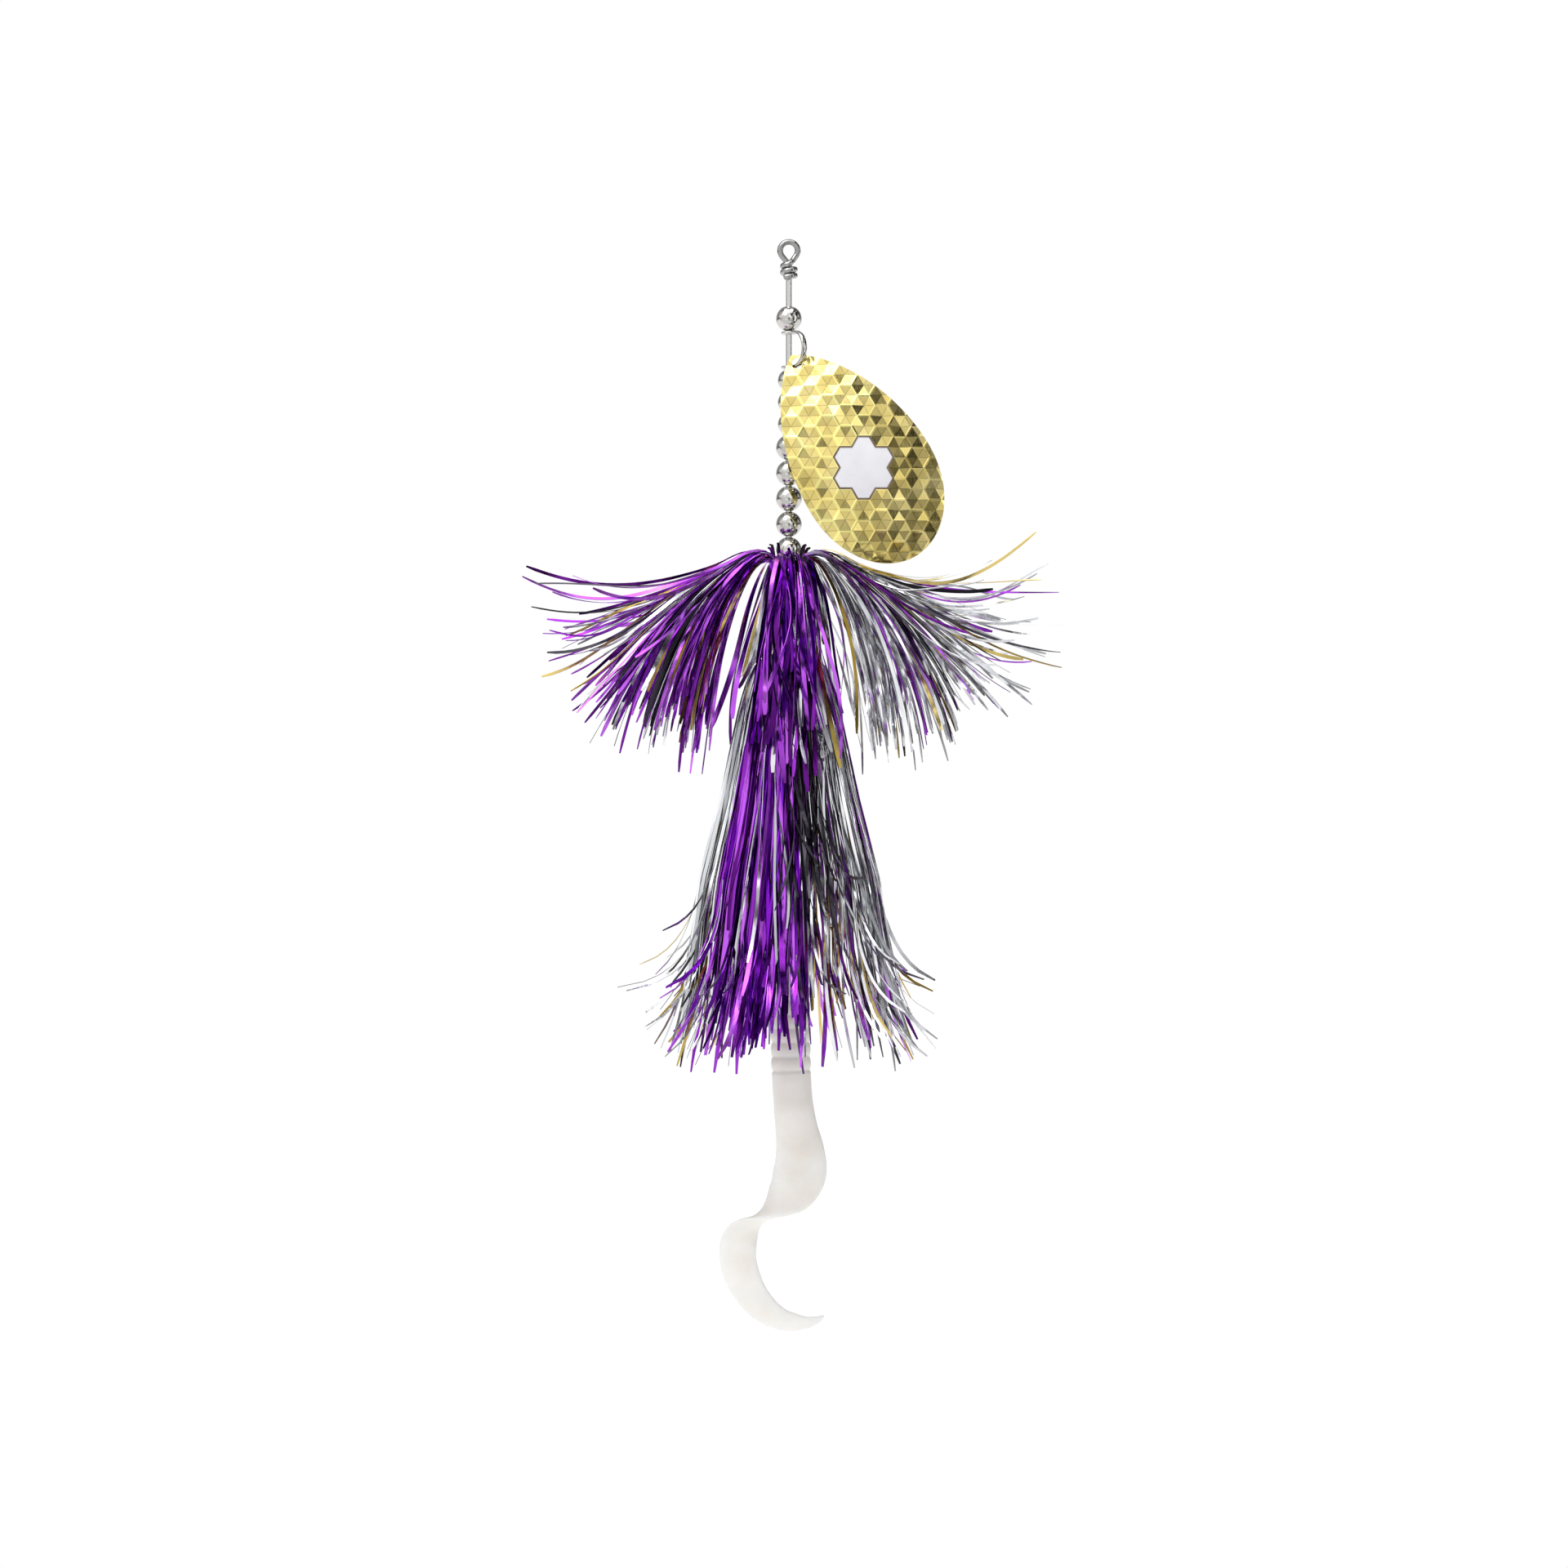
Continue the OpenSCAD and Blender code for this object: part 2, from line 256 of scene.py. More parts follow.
def noise(tree, scale, detail, stretch=(1, 1, 1)):
    """Noise over the object's own coordinates, stretched by a scale along each axis."""
    place = add_node(tree, "ShaderNodeTexCoord")
    mapping = add_node(tree, "ShaderNodeMapping", {"Scale": stretch})
    tex = add_node(tree, "ShaderNodeTexNoise", {"Scale": scale, "Detail": detail})
    tree.links.new(place.outputs["Object"], mapping.inputs["Vector"])
    tree.links.new(mapping.outputs["Vector"], tex.inputs["Vector"])
    return tex


def ramp(tree, source, stops):
    """Colour ramp on a factor; stops are (position, colour), and a plain number is a grey."""
    node = add_node(tree, "ShaderNodeValToRGB")
    elements = node.color_ramp.elements
    while len(elements) < len(stops):
        elements.new(0.5)
    for element, (position, colour) in zip(elements, stops):
        element.position = position
        element.color = (*(colour if isinstance(colour, tuple) else (colour,) * 3), 1)
    tree.links.new(source, node.inputs["Fac"])
    return node.outputs["Color"]


def math_node(tree, operation, *terms):
    """Math node; a term is an output of another node or a number."""
    node = add_node(tree, "ShaderNodeMath", operation=operation)
    for socket, term in zip(node.inputs, terms):
        if isinstance(term, (int, float)):
            socket.default_value = term
        else:
            tree.links.new(term, socket)
    return node.outputs[0]


def mixed(tree, a, b, factor=1.0, blend="MIX"):
    """Colour mix; b and factor are outputs of other nodes, or b a colour and factor a number."""
    node = add_node(tree, "ShaderNodeMix", data_type="RGBA", blend_type=blend)
    for key, value in (("Factor", factor), ("A", a), ("B", b)):
        if isinstance(value, (float, tuple)):
            node.inputs[key].default_value = value
        else:
            tree.links.new(value, node.inputs[key])
    return node.outputs["Result"]


def bump(tree, shader, height, strength, distance):
    node = add_node(tree, "ShaderNodeBump", {"Strength": strength, "Distance": distance})
    tree.links.new(height, node.inputs["Height"])
    tree.links.new(node.outputs["Normal"], shader.inputs["Normal"])


def metal(name, dark, light, rough, relief, scale=300.0, stretch=(1, 1, 1)):
    """Polished or drawn metal: tone, roughness and fine scratches vary over it."""
    mat, tree, shader = new_material(name)
    shader.inputs["Metallic"].default_value = 1.0
    tone = noise(tree, scale * 0.3, 4.0, stretch)
    fine = noise(tree, scale * 8, 2.0, stretch)
    tree.links.new(ramp(tree, tone.outputs["Fac"], [(0.3, dark), (0.7, light)]), shader.inputs["Base Color"])
    tree.links.new(
        ramp(tree, fine.outputs["Fac"], [(0.35, rough[0]), (0.7, rough[1])]),
        shader.inputs["Roughness"],
    )
    bump(tree, shader, fine.outputs["Fac"], relief, 0.00002)
    return mat


def brass_foil(name):
    """Embossed brass: cell borders lighter as a painted highlight, facets of random tone with painted shade
    to one side, painted shade along the creases, fine die marks.
    """
    mat, tree, shader = new_material(name)
    shader.inputs["Metallic"].default_value = 1.0
    facet = add_node(tree, "ShaderNodeAttribute", attribute_name="facet")
    tone = noise(tree, 120.0, 5.0)
    marks = noise(tree, 2600.0, 3.0, (1, 1, 0.25))
    warm = ramp(
        tree, tone.outputs["Fac"],
        [(0.3, (0.82, 0.65, 0.2)), (0.5, (0.91, 0.75, 0.27)), (0.75, (0.97, 0.83, 0.37))],
    )
    # Facet tone: random per facet with painted shade to one side; the top stop lifts the cell borders as a
    # painted highlight
    tone_with_painted_light = ramp(
        tree, facet.outputs["Fac"],
        [(0.0, 0.42), (0.4, 0.76), (0.85, 0.96), (1.0, 1.2)],
    )
    # Painted shade along the creases: the corner attribute falls to 0 along a facet's creases, in its first
    # or its second number, and the colour darkens there
    crease_shade = add_node(tree, "ShaderNodeAttribute", attribute_name="crease_shade")
    apart = add_node(tree, "ShaderNodeSeparateXYZ")
    tree.links.new(crease_shade.outputs["Vector"], apart.inputs[0])
    nearest = math_node(tree, "MINIMUM", apart.outputs[0], apart.outputs[1])
    # Painted shade: the colour darkens to 0.62 right at a crease
    line = ramp(tree, nearest, [(0.0, 0.62), (0.025, 0.7), (0.07, 1.0), (1.0, 1.0)])
    toned = mixed(tree, warm, tone_with_painted_light, blend="MULTIPLY")
    tree.links.new(mixed(tree, toned, line, blend="MULTIPLY"), shader.inputs["Base Color"])
    tree.links.new(
        ramp(tree, marks.outputs["Fac"], [(0.3, 0.1), (0.75, 0.22)]), shader.inputs["Roughness"]
    )
    bump(tree, shader, marks.outputs["Fac"], 0.2, 0.00003)
    return mat


# Share of a film's tone that differs from strand to strand; the rest varies along the strand
STRAND_SHARE = 0.72


def film(name, dark, mid, light, rough, metallic=1.0):
    """Metallised plastic film: tone differs from strand to strand, with a fine crinkle."""
    mat, tree, shader = new_material(name)
    shader.inputs["Metallic"].default_value = metallic
    tone = add_node(tree, "ShaderNodeAttribute", attribute_name="strand")
    soft = noise(tree, 260.0, 3.0, (1, 1, 0.35))
    clouds = math_node(tree, "MULTIPLY", soft.outputs["Fac"], 1 - STRAND_SHARE)
    both = math_node(tree, "MULTIPLY_ADD", tone.outputs["Fac"], STRAND_SHARE, clouds)
    tree.links.new(ramp(tree, both, [(0.15, dark), (0.5, mid), (0.85, light)]), shader.inputs["Base Color"])
    tree.links.new(
        ramp(tree, soft.outputs["Fac"], [(0.3, rough * 0.7), (0.7, rough * 1.5)]),
        shader.inputs["Roughness"],
    )
    crinkle = noise(tree, 900.0, 2.0, (1, 1, 0.5))
    bump(tree, shader, crinkle.outputs["Fac"], 0.35, 0.0001)
    return mat


def soft_plastic(name):
    """Milky plastisol: light scatters inside it, with faint clouding and a satin skin."""
    mat, tree, shader = new_material(name)
    shader.inputs["Subsurface Weight"].default_value = 0.75
    shader.inputs["Subsurface Radius"].default_value = (1.0, 0.85, 0.7)
    shader.inputs["Subsurface Scale"].default_value = 0.0035
    shader.inputs["IOR"].default_value = 1.42
    shader.inputs["Coat Weight"].default_value = 0.12
    cloud = noise(tree, 130.0, 4.0)
    skin_marks = noise(tree, 1400.0, 3.0)
    tree.links.new(
        ramp(tree, cloud.outputs["Fac"], [(0.3, (0.82, 0.79, 0.75)), (0.7, (0.9, 0.88, 0.85))]),
        shader.inputs["Base Color"],
    )
    tree.links.new(
        ramp(tree, skin_marks.outputs["Fac"], [(0.3, 0.3), (0.7, 0.46)]), shader.inputs["Roughness"]
    )
    bump(tree, shader, skin_marks.outputs["Fac"], 0.12, 0.00008)
    return mat


def plain(name, dark, light, rough, scale, relief, stretch=(1, 1, 1)):
    """Enamel, tubing or thread: two close tones with a fine surface."""
    mat, tree, shader = new_material(name)
    tone = noise(tree, scale, 4.0, stretch)
    fine = noise(tree, scale * 6, 2.0, stretch)
    tree.links.new(ramp(tree, tone.outputs["Fac"], [(0.3, dark), (0.7, light)]), shader.inputs["Base Color"])
    tree.links.new(
        ramp(tree, fine.outputs["Fac"], [(0.3, rough * 0.8), (0.7, rough * 1.2)]),
        shader.inputs["Roughness"],
    )
    bump(tree, shader, fine.outputs["Fac"], relief, 0.00004)
    return mat


NICKEL = metal("nickel_polish", (0.56, 0.55, 0.52), (0.68, 0.67, 0.64), (0.03, 0.08), 0.03)
STEEL = metal("drawn_steel", (0.34, 0.34, 0.34), (0.42, 0.42, 0.41), (0.1, 0.16), 0.01, 300.0, (1, 1, 0.3))
ROD = metal("straight_steel", (0.68, 0.68, 0.67), (0.76, 0.76, 0.74), (0.18, 0.24), 0.01, 400.0, (1, 1, 0.01))
HOOK_STEEL = metal("black_nickel", (0.12, 0.12, 0.13), (0.24, 0.24, 0.26), (0.12, 0.26), 0.15, 400.0)
BRASS = brass_foil("embossed_brass")
EMBLEM = plain("emblem_enamel", (0.86, 0.85, 0.9), (0.93, 0.92, 0.95), 0.22, 220.0, 0.08)
RIM = plain("emblem_outline", (0.12, 0.08, 0.06), (0.25, 0.18, 0.13), 0.35, 500.0, 0.2)
SLEEVE = plain("sleeve_tubing", (0.02, 0.02, 0.025), (0.05, 0.05, 0.06), 0.4, 400.0, 0.15)
THREAD = plain("tying_thread", (0.03, 0.01, 0.05), (0.09, 0.03, 0.13), 0.5, 900.0, 0.5)
GRUB = soft_plastic("milky_plastisol")
FILMS = {
    "purple": film("film_purple", (0.05, 0.003, 0.09), (0.32, 0.035, 0.58), (0.62, 0.16, 0.92), 0.17),
    "silver": film("film_silver", (0.36, 0.37, 0.39), (0.7, 0.71, 0.74), (0.93, 0.94, 0.96), 0.15),
    "black": film("film_black", (0.006, 0.005, 0.01), (0.025, 0.02, 0.034), (0.12, 0.11, 0.14), 0.16, 0.7),
    "gold": film("film_gold", (0.28, 0.18, 0.03), (0.52, 0.38, 0.09), (0.76, 0.6, 0.22), 0.2),
}


# ----------------------------------------------------------------------- shaft


def eye_path(z, radius, up):
    """Wire from the shaft round an eye and back into two wraps; up is 1, or -1 for the lower eye."""
    stem = radius + 1.7
    tangent = math.acos(radius / stem)
    # The loop leaves the stem on the left, goes round the far side and comes back on the right
    loop = [
        (radius * math.sin(a), 0.0, -radius * math.cos(a))
        for a in np.linspace(-tangent, -2 * math.pi + tangent, 40)
    ]
    lead = [(0.0, 0.0, -stem - 4.0), (0.0, 0.0, -stem - 2.0), (0.0, 0.0, -stem + 0.1)]
    cross = [(0.95, -0.55, -radius - 0.35), (0.35, -1.3, -radius - 0.95)]
    wrap_r = 2 * WIRE_R + 0.03
    coil = [
        (
            wrap_r * math.cos(math.radians(-95 - a)),
            wrap_r * math.sin(math.radians(-95 - a)),
            -radius - 1.35 - WRAP_PITCH * a / 360,
        )
        for a in range(0, 761, 12)
    ]
    points = np.array(lead + loop + cross + coil)
    points[:, 2] = points[:, 2] * up + z
    if up < 0:
        points[:, 1] *= -1
    return points


def build_shaft():
    straight = [(0, 0, z) for z in np.linspace(-5, LOWER_EYE_Z + 5, 40)]
    verts, faces = tube(straight, WIRE_R, 32)
    add_mesh("shaft_rod", verts, faces, ROD, "shaft", "shaft_wire", angle=40)
    for name, node, z, radius, up in (
        ("line_tie_eye", "line_eye", 0, EYE_R, 1),
        ("lower_eye", "ring_eye", LOWER_EYE_Z, LOWER_EYE_R, -1),
    ):
        path = curve_through(eye_path(z, radius, up), 260)
        verts, faces = tube(path, WIRE_R, 20)
        add_mesh(name, verts, faces, STEEL, "shaft", node, angle=40)


# ----------------------------------------------------------------------- beads


def bead_profile(radius):
    """Outline of a bead: the ball, a small broken edge at each mouth, and the bore."""
    mouth = math.asin((BORE_R + 0.08) / radius)
    arc = [(radius * math.sin(a), radius * math.cos(a)) for a in np.linspace(mouth, math.pi - mouth, 64)]
    half = arc[0][1] - 0.1
    return arc + [(BORE_R, -half), (BORE_R, half)]


def build_beads():
    beads = ["top_bead", "tail_bead"] + [f"bead_{i}" for i in range(1, 9)]
    for node in beads:
        left, right = span(node, "x")
        verts, faces = lathe(bead_profile((right - left) / 2), sum(span(node)) / 2)
        add_mesh(f"{node}_ball", verts, faces, NICKEL, node, node, angle=30)


# ---------------------------------------------------------------------- clevis


def build_clevis():
    bow_z = span("clevis")[1] - STRAP_T / 2 - BOW_R
    # Strap's centreline from behind the top ear, round the bow, to behind the lower ear
    flat = [(x, BOW_R) for x in np.linspace(-EAR_R, ARM_L, 30)]
    bow = [
        (ARM_L + BOW_R * math.sin(a), BOW_R * math.cos(a)) for a in np.linspace(0, math.pi, 40)[1:-1]
    ]
    path = flat + bow + [(x, -z) for x, z in reversed(flat)]
    out = np.array([math.sin(CLEVIS_TURN), -math.cos(CLEVIS_TURN), 0])
    side = np.array([math.cos(CLEVIS_TURN), math.sin(CLEVIS_TURN), 0])
    rings = []
    for i, (x, z) in enumerate(path):
        a = np.array(path[max(i - 1, 0)])
        b = np.array(path[min(i + 1, len(path) - 1)])
        t = (b - a) / np.linalg.norm(b - a)
        normal = out * -t[1] + np.array([0, 0, 1]) * t[0]
        ear = math.sqrt(max(0.0, EAR_R**2 - x**2)) if x < EAR_R else 0.0
        half = max(ear, STRAP_W / 2 if x > 0 else 0.15)
        centre = out * x + np.array([0, 0, z + bow_z])
        edge = min(0.3, half * 0.6)
        ring = []
        for k in range(16):
            c, s = math.cos(2 * math.pi * k / 16), math.sin(2 * math.pi * k / 16)
            u = math.copysign(abs(c) ** 0.5, c) * half
            v = math.copysign(abs(s) ** (0.5 + edge), s) * STRAP_T / 2
            ring.append(centre + side * u + normal * v)
        rings.append(ring)
    verts, faces = skin(rings)
    obj = add_mesh("clevis_strap", verts, faces, NICKEL, "clevis", "clevis")
    bore = [(0, 0, bow_z - BOW_R - 2), (0, 0, bow_z + BOW_R + 2)]
    cut_hole(obj, *tube(bore, BORE_R + 0.02, 32))
    shade(obj.data, True, 50)


# ----------------------------------------------------------------------- blade


def blade_half(s):
    """Half width of the blade at distance s below its hole."""
    if s < BLADE_WAIST:
        return BLADE_W / 2 * max(0, 1 - ((s - BLADE_WAIST) / (BLADE_WAIST + BLADE_TIP)) ** 2) ** 0.77
    return BLADE_W / 2 * max(0, 1 - ((s - BLADE_WAIST) / (BLADE_REACH - BLADE_WAIST)) ** 2) ** 0.5


def blade_outline(inset=0.0, steps=60):
    """Blade's outline, anticlockwise, in the blade's own (across, up) plane."""
    length = BLADE_REACH + BLADE_TIP
    s = [-BLADE_TIP + length * (1 - math.cos(math.pi * k / steps)) / 2 for k in range(1, steps)]
    right = [(blade_half(v) - inset, -v) for v in s]
    left = [(-blade_half(v) + inset, -v) for v in s]
    return [(0, BLADE_TIP - inset)] + left + [(0, inset - BLADE_REACH)] + right[::-1]


def leaned(x, z, sign=1):
    """Turns the blade's own plane by its lean; sign -1 turns back."""
    c, s = math.cos(BLADE_LEAN), math.sin(BLADE_LEAN) * sign
    return x * c - z * s, x * s + z * c


def cup(x, z):
    """Depth of the cup's mid surface; x and z are in the blade's own plane."""
    back = math.sqrt(CUP_R**2 - CUP_MID**2)
    return back - math.sqrt(CUP_R**2 - x**2 - (z + CUP_MID) ** 2)


def blade_place():
    """World place of the blade's hole, in millimetres."""
    z = span("clevis")[0] + STRAP_T / 2 + HOLE_RISE
    return np.array([HOLE_OUT * math.sin(CLEVIS_TURN), -HOLE_OUT * math.cos(CLEVIS_TURN), z])


def clip(poly, outline):
    """Cuts a flat polygon of (x, z, ...) points to a convex outline that runs anticlockwise."""
    for i in range(len(outline)):
        (ax, az), (bx, bz) = outline[i - 1], outline[i]
        side = [(bx - ax) * (p[1] - az) - (bz - az) * (p[0] - ax) for p in poly]
        kept = []
        for k in range(len(poly)):
            p, q = poly[k - 1], poly[k]
            sp, sq = side[k - 1], side[k]
            if sp * sq < 0:
                f = sp / (sp - sq)
                kept.append(tuple(p[j] + (q[j] - p[j]) * f for j in range(len(p))))
            if sq >= 0:
                kept.append(q)
        poly = kept
        if len(poly) < 3:
            return []
    return poly


def cells(ex, ez):
    """Centres of the six-sided cells, column by column, round the emblem's centre."""
    return [
        (ex + column * CELL_R * 1.5, ez + (row + (column % 2) / 2) * CELL)
        for column in CELLS_EACH_WAY
        for row in CELLS_EACH_WAY
    ]


def hexagon(x, z, radius):
    return [
        (x + radius * math.cos(math.pi / 3 * k), z + radius * math.sin(math.pi / 3 * k)) for k in range(6)
    ]


def build_blade():
    place = blade_place()
    outline = blade_outline()
    ex, ez = leaned(0, -EMBLEM_REACH)
    points, faces, tones, shaded_crease_corners = {}, [], [], []

    def index(p):
        key = (round(p[0], 3), round(p[1], 3))
        if key not in points:
            points[key] = (len(points), p[:3])
        return points[key][0]

    for cx, cz in cells(ex, ez):
        in_emblem = math.hypot(cx - ex, cz - ez) < CELL * 1.2
        outer = hexagon(cx, cz, CELL_R)
        inner = hexagon(cx, cz, CELL_R * CELL_INSIDE)
        depth = 0.0 if in_emblem else CELL_DEPTH * rng.uniform(0.85, 1.2)
        peak = (cx + rng.uniform(-0.2, 0.2), cz + rng.uniform(-0.2, 0.2))
        shaped = []
        for (x, z), sink in [(peak, depth)] + [(p, 0.0) for p in inner] + [(p, -RIDGE) for p in outer]:
            bx, bz = leaned(x, z, -1)
            if math.hypot(bx, bz + CUP_MID) > BEYOND_BLADE:
                break
            shaped.append((bx, bz, cup(bx, bz) - BLADE_T / 2 + sink))
        if len(shaped) < 1 + len(inner) + len(outer):
            continue
        mid, ring_in, ring_out = shaped[0], shaped[1:7], shaped[7:]
        # Painted shade: the facets' tones fall darker and less even towards the side away from the shaft
        low_tone_with_painted_shade = 0.68 * (1 - min(1, max(0, (cx - ex + 8) / 14)))
        top_tone_with_painted_shade = 0.85 - 0.32 * min(1, max(0, (cx - ex) / 12))
        for k in range(6):
            n = (k + 1) % 6
            # The last two numbers of a point fall to 0 along the creases of its facet, where the material
            # paints shade
            facet = [mid + (0, 0), ring_in[k] + (1, 0), ring_in[n] + (0, 1)]
            border = [p + (1, 1) for p in (ring_in[k], ring_out[k], ring_out[n], ring_in[n])]
            # Each border takes a tone above its facets' range: a painted highlight on the cell ridges
            for poly, tone in ((facet, rng.uniform(low_tone_with_painted_shade, top_tone_with_painted_shade)), (border, top_tone_with_painted_shade + 0.15)):
                poly = clip(poly, outline)
                ids = [index(p) for p in poly]
                kept = [i for i in range(len(ids)) if ids[i] != ids[i - 1]]
                if len(kept) >= 3:
                    faces.append([ids[i] for i in kept])
                    shaded_crease_corners.append([poly[i][3:] for i in kept])
                    tones.append(tone)
    front = [p for _, p in sorted(points.values())]
    edges = {}
    for face in faces:
        for i in range(len(face)):
            pair = (face[i - 1], face[i])
            edges[pair] = edges.get(pair, 0) + 1
    rim = [e for e in edges if (e[1], e[0]) not in edges]
    n = len(front)
    verts = []
    for back in (0.0, BLADE_T):
        for bx, bz, y in front:
            x, z = leaned(bx, bz)
            verts.append(place + np.array([x, y + back, z]))
    all_faces = faces + [[v + n for v in reversed(f)] for f in faces]
    all_faces += [[b, a, a + n, b + n] for a, b in rim]
    obj = add_mesh("blade_shell", verts, all_faces, BRASS, "blade", "blade", smooth=False)
    # Face attribute with each facet's tone, including the painted shade to one side and the painted highlight
    # on the borders
    facet = obj.data.attributes.new("facet", "FLOAT", "FACE")
    facet.data.foreach_set("value", tones * 2 + [1.0] * len(rim))
    # Corner attribute that the brass material uses to paint shade along the creases
    crease_shade = obj.data.attributes.new("crease_shade", "FLOAT_VECTOR", "CORNER")
    found = [c for face in shaded_crease_corners for c in face] + [c for face in shaded_crease_corners for c in reversed(face)]
    found += [(1, 1)] * (4 * len(rim))
    crease_shade.data.foreach_set("vector", [float(v) for c in found for v in (c[0], c[1], 1)])
    bore = [place + np.array([0, y, 0]) for y in (-3, 3)]
    cut_hole(obj, *tube(bore, HOLE_R, 40))
    build_emblem(place, ex, ez)


def flower_outline(ex, ez, grow):
    """Outline of the seven-cell flower, moved outwards by grow."""
    ring = []
    for k in range(6):
        a = math.pi / 3 * k + math.pi / 6
        corners = hexagon(ex + CELL * math.cos(a), ez + CELL * math.sin(a), CELL_R)
        # The outer three corners of each petal, and the one shared with the next petal
        ring += [corners[(k + j) % 6] for j in (0, 1, 2)]
    cleaned = []
    for p in ring:
        if not cleaned or math.dist(p, cleaned[-1]) > 0.01:
            cleaned.append(p)
    if math.dist(cleaned[0], cleaned[-1]) < 0.01:
        cleaned.pop()
    grown = []
    for i, p in enumerate(cleaned):
        a = np.subtract(p, cleaned[i - 1])
        b = np.subtract(cleaned[(i + 1) % len(cleaned)], p)
        na = np.array([a[1], -a[0]]) / np.linalg.norm(a)
        nb = np.array([b[1], -b[0]]) / np.linalg.norm(b)
        m = (na + nb) / (1 + na.dot(nb))
        grown.append(tuple(np.array(p) + m * grow))
    return grown


def build_emblem(place, ex, ez):
    def on_blade(x, z, lift):
        bx, bz = leaned(x, z, -1)
        return place + np.array([x, cup(bx, bz) - BLADE_T / 2 - lift, z])

    outline = flower_outline(ex, ez, -0.2)
    count = len(outline)
    # Rings from the middle to the edge keep the plate curved like the cup under it
    steps = 6
    verts = []
    for lift in (0.2, -0.05):
        verts.append(on_blade(ex, ez, lift))
        for j in range(1, steps + 1):
            f = j / steps
            verts += [on_blade(ex + (x - ex) * f, ez + (z - ez) * f, lift) for x, z in outline]
    half = len(verts) // 2
    faces = []
    for base, flip in ((0, False), (half, True)):
        part = [(base, base + 1 + k, base + 1 + (k + 1) % count) for k in range(count)]
        for j in range(steps - 1):
            a, b = base + 1 + j * count, base + 1 + (j + 1) * count
            part += [(a + k, b + k, b + (k + 1) % count, a + (k + 1) % count) for k in range(count)]
        faces += [f[::-1] for f in part] if flip else part
    edge = 1 + (steps - 1) * count
    faces += [
        (edge + (k + 1) % count, edge + k, half + edge + k, half + edge + (k + 1) % count)
        for k in range(count)
    ]
    add_mesh("emblem_plate", verts, faces, EMBLEM, "blade", "blade_emblem", angle=40)
    inner = flower_outline(ex, ez, -0.28)
    outer = flower_outline(ex, ez, 0.18)
    rings = []
    for (ix, iz), (ox, oz) in zip(inner, outer):
        rings.append(
            [on_blade(ix, iz, -0.05), on_blade(ix, iz, 0.3), on_blade(ox, oz, 0.3), on_blade(ox, oz, -0.05)]
        )
    verts, faces = skin(rings, closed=True)
    add_mesh("emblem_edge", verts, faces, RIM, "blade", "blade_emblem", smooth=False)


# ---------------------------------------------------------------------- skirts


# Highest place of the upper skirt as (radius, height), just under the turning blade
ENVELOPE = [
    (0, -79.6), (4, -78.6), (5.5, -77.3), (8, -76), (12, -76), (13, -76.8), (15, -78.2), (17, -79.3),
    (20, -80.4), (25, -81), (30, -80.2), (33, -78.8), (35, -77.1), (37, -74.7), (41, -70), (80, -70),
]


def envelope(r):
    return np.interp(r, *zip(*ENVELOPE))


def ribbon(path, width, twist0, twist1):
    """Rings of a flat film strand that starts turned by twist0 and turns by twist1 along its line."""
    t, u, v = frames_along(path)
    m = len(path)
    turn = twist0 + twist1 * np.linspace(0, 1, m)
    a = u * np.cos(turn)[:, None] + v * np.sin(turn)[:, None]
    b = np.cross(t, a)
    half = np.full(m, width / 2)
    half[0] *= 0.5
    half[-1] *= 0.55
    w = a * half[:, None]
    h = b * (FILM_T / 2)
    return np.stack([path + w + h, path - w + h, path - w - h, path + w - h], axis=1)


def add_strands(side, colour, strands):
    """All strands of one colour in a skirt as one mesh; attribute 'strand' holds a tone for each."""
    all_rings = np.concatenate([s.reshape(-1, 3) for s in strands])
    quads, tones = [], []
    base = 0
    for s in strands:
        m = len(s)
        tone = rng.random()
        for i in range(m - 1):
            a, b = base + 4 * i, base + 4 * (i + 1)
            quads += [(a + j, a + (j + 1) % 4, b + (j + 1) % 4, b + j) for j in range(4)]
        quads.append((base + 3, base + 2, base + 1, base))
        e = base + 4 * (m - 1)
        quads.append((e, e + 1, e + 2, e + 3))
        tones += [tone] * (4 * m)
        base += 4 * m
    name = f"{side}_strands_{colour}"
    mesh = bpy.data.meshes.new(name)
    mesh.from_pydata((all_rings * MM).tolist(), [], quads)
    attribute = mesh.attributes.new("strand", "FLOAT", "POINT")
    attribute.data.foreach_set("value", np.array(tones, np.float32))
    shade(mesh, True, 50)
    slot = f"tinsel_{colour}"
    add_piece(name, mesh, FILMS[colour], f"{side}_skirt", f"{side}_{slot}")


def place_course(r, z, side, azimuth):
    """Points from radii, heights and sideways drifts, turned to a direction round the shaft."""
    c, s = math.cos(azimuth), math.sin(azimuth)
    return np.stack([r * c - side * s, r * s + side * c, z], axis=1)


